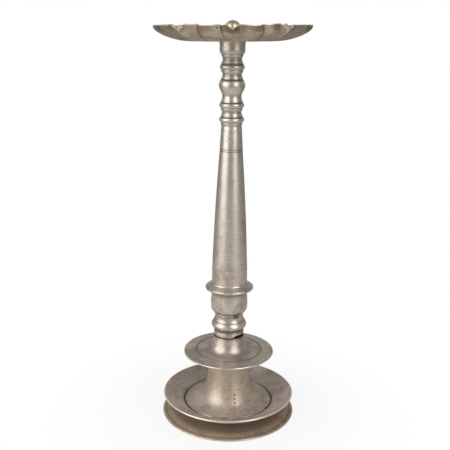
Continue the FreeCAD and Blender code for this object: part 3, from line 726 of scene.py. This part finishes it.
def dish():
    """Thin lobed dish: a keel runs up each lobe into a pinched V lip, and a crease parts the lobes."""
    base_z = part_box("dish_cup")[0].z + 24.2 * MM
    rim_z = base_z + 16.9 * MM
    reach = 85.9 * MM
    tip_line = fine_line(np.array([
        (46.0 * MM, base_z), (55.0 * MM, base_z + 0.6 * MM), (66.0 * MM, base_z + 3.1 * MM),
        (75.2 * MM, base_z + 6.5 * MM), (82.0 * MM, base_z + 10.6 * MM), (84.3 * MM, base_z + 12.9 * MM),
        (reach, rim_z)]))
    place = np.concatenate([[0.0], np.cumsum(np.hypot(*np.diff(tip_line, axis=0).T))])
    slope = np.gradient(tip_line, place, axis=0)
    turn, offset, share, lobe, (lean_rim, lean_base) = dish_angles()
    columns = len(turn)
    signed = (turn + 180.0) % 360.0 - 180.0
    sway = np.interp(signed, *RIM_SWAY.T) * MM
    notch = np.maximum(0.0, 1.0 - np.abs(reach * np.sin(offset)) / NOTCH_HALF_WIDTH)
    rim_here = rim_z - NOTCH_DEPTH * notch - 0.25 * MM
    end_place = np.interp(rim_here, tip_line[:, 1], place)
    front = lobe == 0
    outer_side = (offset * np.sign(signed) > 0) & ~front
    crease_depth = np.where(np.abs(signed) < 35.0, 1.0, 0.45)
    # painted highlight on the lips beside the front, on their side towards the front
    lip_shine = (share < 0.26) & (offset * signed < 0) & (np.abs(signed) < 60.0) & ~front
    rim_stain = np.array([0.42 + 0.9 * ragged(t, 7.0, 4.0) for t in turn])
    rises = 46

    def drop(rise):
        """How far the wall lies inside the tip line, for each column, at a share of the height."""
        half_keel = np.full(columns, 5.4 + 3.4 * rise) / HALF_LOBE
        half_keel[front & (offset < 0)] = 0.28 + 0.11 * rise
        half_keel[front & (offset >= 0)] = 0.27 - 0.07 * rise
        root = (1.2 + 0.9 * rise) * MM
        panel = (0.5 + 0.4 * rise) * MM
        crease = (1.2 + 0.4 * rise) * MM
        facet = root * share / half_keel
        across = np.clip((share - half_keel) / (1.0 - half_keel), 0.0, 1.0)
        swell = root + (crease - root) * across - ((root + crease) / 2 - panel) * 4 * across * (1 - across)
        body = np.where(share < half_keel, facet, swell)
        groove = np.where(front, 0.28, 0.10) * MM * rise * np.exp(-((share - half_keel) / 0.05)**2)
        split = 0.55 * MM * crease_depth * (0.3 + 0.7 * rise) * np.exp(-((1.0 - share) / 0.05)**1.4)
        return body + groove + split, half_keel

    def wall(level, inset):
        """Ring of points on the wall at a share of the way up; inset moves it into the dish."""
        where = end_place * level
        r = np.interp(where, place, tip_line[:, 0])
        z = np.interp(where, place, tip_line[:, 1])
        along_r = np.interp(where, place, slope[:, 0])
        along_z = np.interp(where, place, slope[:, 1])
        size = np.hypot(along_r, along_z)
        inside, half_keel = drop((z - base_z).mean() / (rim_z - base_z))
        r = r - inside - inset * along_z / size
        z = z + inset * along_r / size
        return r, z, half_keel

    rings, grime, wear, patina = [], [], [], []

    def add_ring(r, z, dirt_and_shade, edge, brown, rise=0.0):
        """One ring of the skin; the hand-made rim's sway grows towards the rim."""
        a = np.radians(turn + share**2 * (lean_base + (lean_rim - lean_base) * rise))
        z = z + sway * rise**3 + np.zeros(columns)
        x = r * np.sin(a)
        y = -r * np.cos(a)
        tilted_z = z + x * math.sin(DISH_TILT)
        tilted_x = x * math.cos(DISH_TILT) - (z - rim_z) * math.sin(DISH_TILT)
        rings.append(np.column_stack([tilted_x, y, tilted_z]))
        for values, value in ((grime, dirt_and_shade), (wear, edge), (patina, brown)):
            values.append(value * np.ones(columns))

    def lines(half_keel, rise):
        """Dirt and painted shade along the creases, a dark line beside the front keel and a thin one beside
        the others, and painted shadow beside the side keels on their side away from the front.
        """
        crease = 0.74 * crease_depth * np.exp(-((1.0 - share) / 0.034)**2)
        root_strength = np.where(front, np.where(offset < 0, 0.78, 0.58), 0.12)
        root = root_strength * np.exp(-((share - half_keel) / 0.045)**2)
        shadow_beside_keel = 0.50 * outer_side * np.exp(-((share - 0.13) / 0.05)**2)
        return np.clip(crease * (0.55 + 0.45 * rise) + (root + shadow_beside_keel) * rise**0.5, 0.0, 1.0)

    def browned(half_keel, rise):
        """Soft brown beside the creases, patina and painted shade; brown on the front facets, darker on the
        right one as painted shade; and stains in patches under the rim.
        """
        crease = crease_depth * np.exp(-((1.0 - share) / 0.13)**2)
        # painted shade: the right front facet gets more brown than the left
        facet = np.where(offset > 0, 0.55, 0.40) * front * (share < half_keel)
        under_rim = smoothstep(0.72, 0.90, rise) * (1.0 - smoothstep(0.97, 1.0, rise)) * rim_stain
        return np.clip(0.6 * crease + facet * rise + under_rim, 0.0, 1.0)

    def edge(rise):
        """Painted highlight along the keels, wear along the rim, and a painted highlight on the lips beside
        the front.
        """
        keel_highlight = np.where(front, 0.2, 0.9) * np.exp(-(share / 0.08)**2) * rise**0.5
        painted_lip_highlight = lip_shine * smoothstep(0.84, 0.94, rise)
        return np.clip(keel_highlight + smoothstep(0.95, 1.0, rise) + painted_lip_highlight, 0.0, 1.0)

    for r in np.linspace(DISH_HOLE_R, DISH_FLOOR_R, 14):
        add_ring(r, base_z, 0.1, 0.0, 0.3)
    for level in np.linspace(0.0, 1.0, rises):
        r, z, half_keel = wall(level, 0.0)
        add_ring(r, z, lines(half_keel, level), edge(level), browned(half_keel, level), level)
    tip_z = np.interp(end_place, place, tip_line[:, 1])
    for share_across in (0.15, 0.5, 0.85):
        r, z, half_keel = wall(1.0, DISH_WALL * share_across)
        add_ring(r, np.minimum(z, tip_z), 0.0, 1.0, 0.0, 1.0)
    for level in np.linspace(1.0, 0.0, rises):
        r, z, half_keel = wall(level, DISH_WALL)
        add_ring(r, np.minimum(z, tip_z), 0.5 * lines(half_keel, level), smoothstep(0.9, 1.0, level),
                 0.4 * browned(half_keel, level), level)
    for r in np.linspace(DISH_FLOOR_R, DISH_HOLE_R, 14):
        add_ring(r, base_z + DISH_WALL, 0.15, 0.0, 0.4)
    faces = []
    for i in range(len(rings)):
        faces += ring_faces(i * columns, (i + 1) % len(rings) * columns, columns)
    new_piece("dish_worn", np.vstack(rings), faces, "dish_bronze", "dish", grime=np.concatenate(grime),
              wear=np.concatenate(wear), patina=np.concatenate(patina))


# ---- build -----------------------------------------------------------------------------------

def seam_circles():
    """Outer edge of every parting face that shows as a dark line: radius, height, half width and
    strength."""
    found = []
    for node in TURNED:
        if node not in ("base_foot", "shaft"):
            outline = section(node)[0]
            at_bottom = outline[outline[:, 1] < outline[:, 1].min() + 0.01 * MM]
            found.append((at_bottom[:, 0].max(), at_bottom[0, 1], SEAM_REACH, 1.0))
    for node in ("neck_ring", "collar_washer"):
        low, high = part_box(node)
        found.append((high.x, low.z, SEAM_REACH, 1.0))
    return found


SEAMS = seam_circles()

for node, slot in TURNED.items():
    turned_piece(node, slot)
worn_band("neck_ring", "tinned_bronze", neck_ring_section)
worn_band("collar_washer", "tinned_bronze", collar_washer_section)
dish()

for node in ("tie_rod", "clamp_washer", "clamp_nut", "lock_nut", "dish_gasket"):
    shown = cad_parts[node]
    slot = shown.data.materials[0].name.split(".")[0]
    shown.material_slots[0].material = MATERIALS[slot]


# ---- stage, lights and camera ----------------------------------------------------------------

LENS = 58.56                            # on a 36 mm sensor
PITCH, ROLL = 14.91, 0.65               # degrees: looking down, and tilted
EYE = (-0.00594, -0.8069, 0.44505)
LIGHT_DISTANCE = 1.5
MIDDLE = Vector((0.0, 0.0, 0.5 * (cad_low.z + cad_high.z)))


def stage():
    """Pale floor, a little darker far out, that the camera sees turn into the white background."""
    mesh = bpy.data.meshes.new("floor")
    half = 50.0
    corners = [(-half, -half, 0), (half, -half, 0), (half, half, 0), (-half, half, 0)]
    mesh.from_pydata(corners, [], [(0, 1, 2, 3)])
    floor = bpy.data.objects.new("floor", mesh)
    bpy.context.scene.collection.objects.link(floor)
    material, graph, shader = new_material("pale_floor")
    r = graph.place()[1]
    pale = graph.mix(graph.ramp(r, 0.30, 0.75), (0.82, 0.815, 0.805), (0.50, 0.495, 0.485))
    graph.link(pale, shader.inputs["Base Color"])
    shader.inputs["Roughness"].default_value = 0.85
    white = graph.add("ShaderNodeEmission")
    white.inputs["Color"].default_value = (1.0, 1.0, 1.0, 1.0)
    seen = graph.add("ShaderNodeLightPath").outputs["Is Camera Ray"]
    share = graph.maths("MULTIPLY", graph.ramp(r, 0.07, 0.24, 0.88, 1.0), seen)
    both = graph.add("ShaderNodeMixShader")
    graph.link(share, both.inputs[0])
    graph.link(shader.outputs[0], both.inputs[1])
    graph.link(white.outputs[0], both.inputs[2])
    output = [node for node in graph.tree.nodes if node.type == "OUTPUT_MATERIAL"][0]
    graph.link(both.outputs[0], output.inputs["Surface"])
    mesh.materials.append(material)


def softbox(name, azimuth, elevation, width, height, power):
    """Rectangular soft light; azimuth 0 is at the camera's side, positive to its right."""
    data = bpy.data.lights.new(name, "AREA")
    data.shape = "RECTANGLE"
    data.size = width
    data.size_y = height
    data.energy = power
    lamp = bpy.data.objects.new(name, data)
    bpy.context.scene.collection.objects.link(lamp)
    a, e = math.radians(azimuth), math.radians(elevation)
    away = Vector((math.sin(a) * math.cos(e), -math.cos(a) * math.cos(e), math.sin(e)))
    lamp.location = MIDDLE + LIGHT_DISTANCE * away
    lamp.rotation_mode = "QUATERNION"
    lamp.rotation_quaternion = away.to_track_quat("Z", "Y")


def surroundings():
    """World that the camera sees white and that lights the metal as a dim studio: brighter on the
    left and behind, darker in front, on the right and overhead."""
    world = bpy.data.worlds.new("studio")
    bpy.context.scene.world = world
    graph = Graph(world)
    split = graph.add("ShaderNodeSeparateXYZ")
    graph.link(graph.add("ShaderNodeTexCoord").outputs["Generated"], split.inputs[0])
    x, y, z = split.outputs
    across = graph.maths("MULTIPLY_ADD", x, -0.05, 0.36)
    behind = graph.maths("MULTIPLY", y, 0.10)
    overhead = graph.ramp(z, 0.30, 0.92, 1.0, 0.40)
    strength = graph.maths("MULTIPLY", graph.maths("ADD", across, behind), overhead)
    room = graph.add("ShaderNodeBackground")
    room.inputs["Color"].default_value = (1.0, 0.985, 0.965, 1.0)
    graph.link(strength, room.inputs["Strength"])
    white = graph.add("ShaderNodeBackground")
    white.inputs["Color"].default_value = (1.0, 1.0, 1.0, 1.0)
    both = graph.add("ShaderNodeMixShader")
    output = graph.add("ShaderNodeOutputWorld")
    graph.link(graph.add("ShaderNodeLightPath").outputs["Is Camera Ray"], both.inputs[0])
    graph.link(room.outputs[0], both.inputs[1])
    graph.link(white.outputs[0], both.inputs[2])
    graph.link(both.outputs[0], output.inputs["Surface"])


def camera():
    """Camera just below the height of the dish's rim, looking down on the foot."""
    data = bpy.data.cameras.new("camera")
    data.sensor_width = 36.0
    data.lens = LENS
    eye = bpy.data.objects.new("camera", data)
    bpy.context.scene.collection.objects.link(eye)
    level = Matrix.Rotation(math.radians(90.0 - PITCH), 4, "X")
    roll = Matrix.Rotation(math.radians(ROLL), 4, "Z")
    eye.matrix_world = Matrix.Translation(EYE) @ level @ roll
    bpy.context.scene.camera = eye


stage()
surroundings()
softbox("key_left", azimuth=-59.0, elevation=28.0, width=1.5, height=1.8, power=18.0)
softbox("fill_right", azimuth=40.0, elevation=32.0, width=0.9, height=1.6, power=11.8)
camera()
bpy.context.scene.view_settings.view_transform = "Standard"
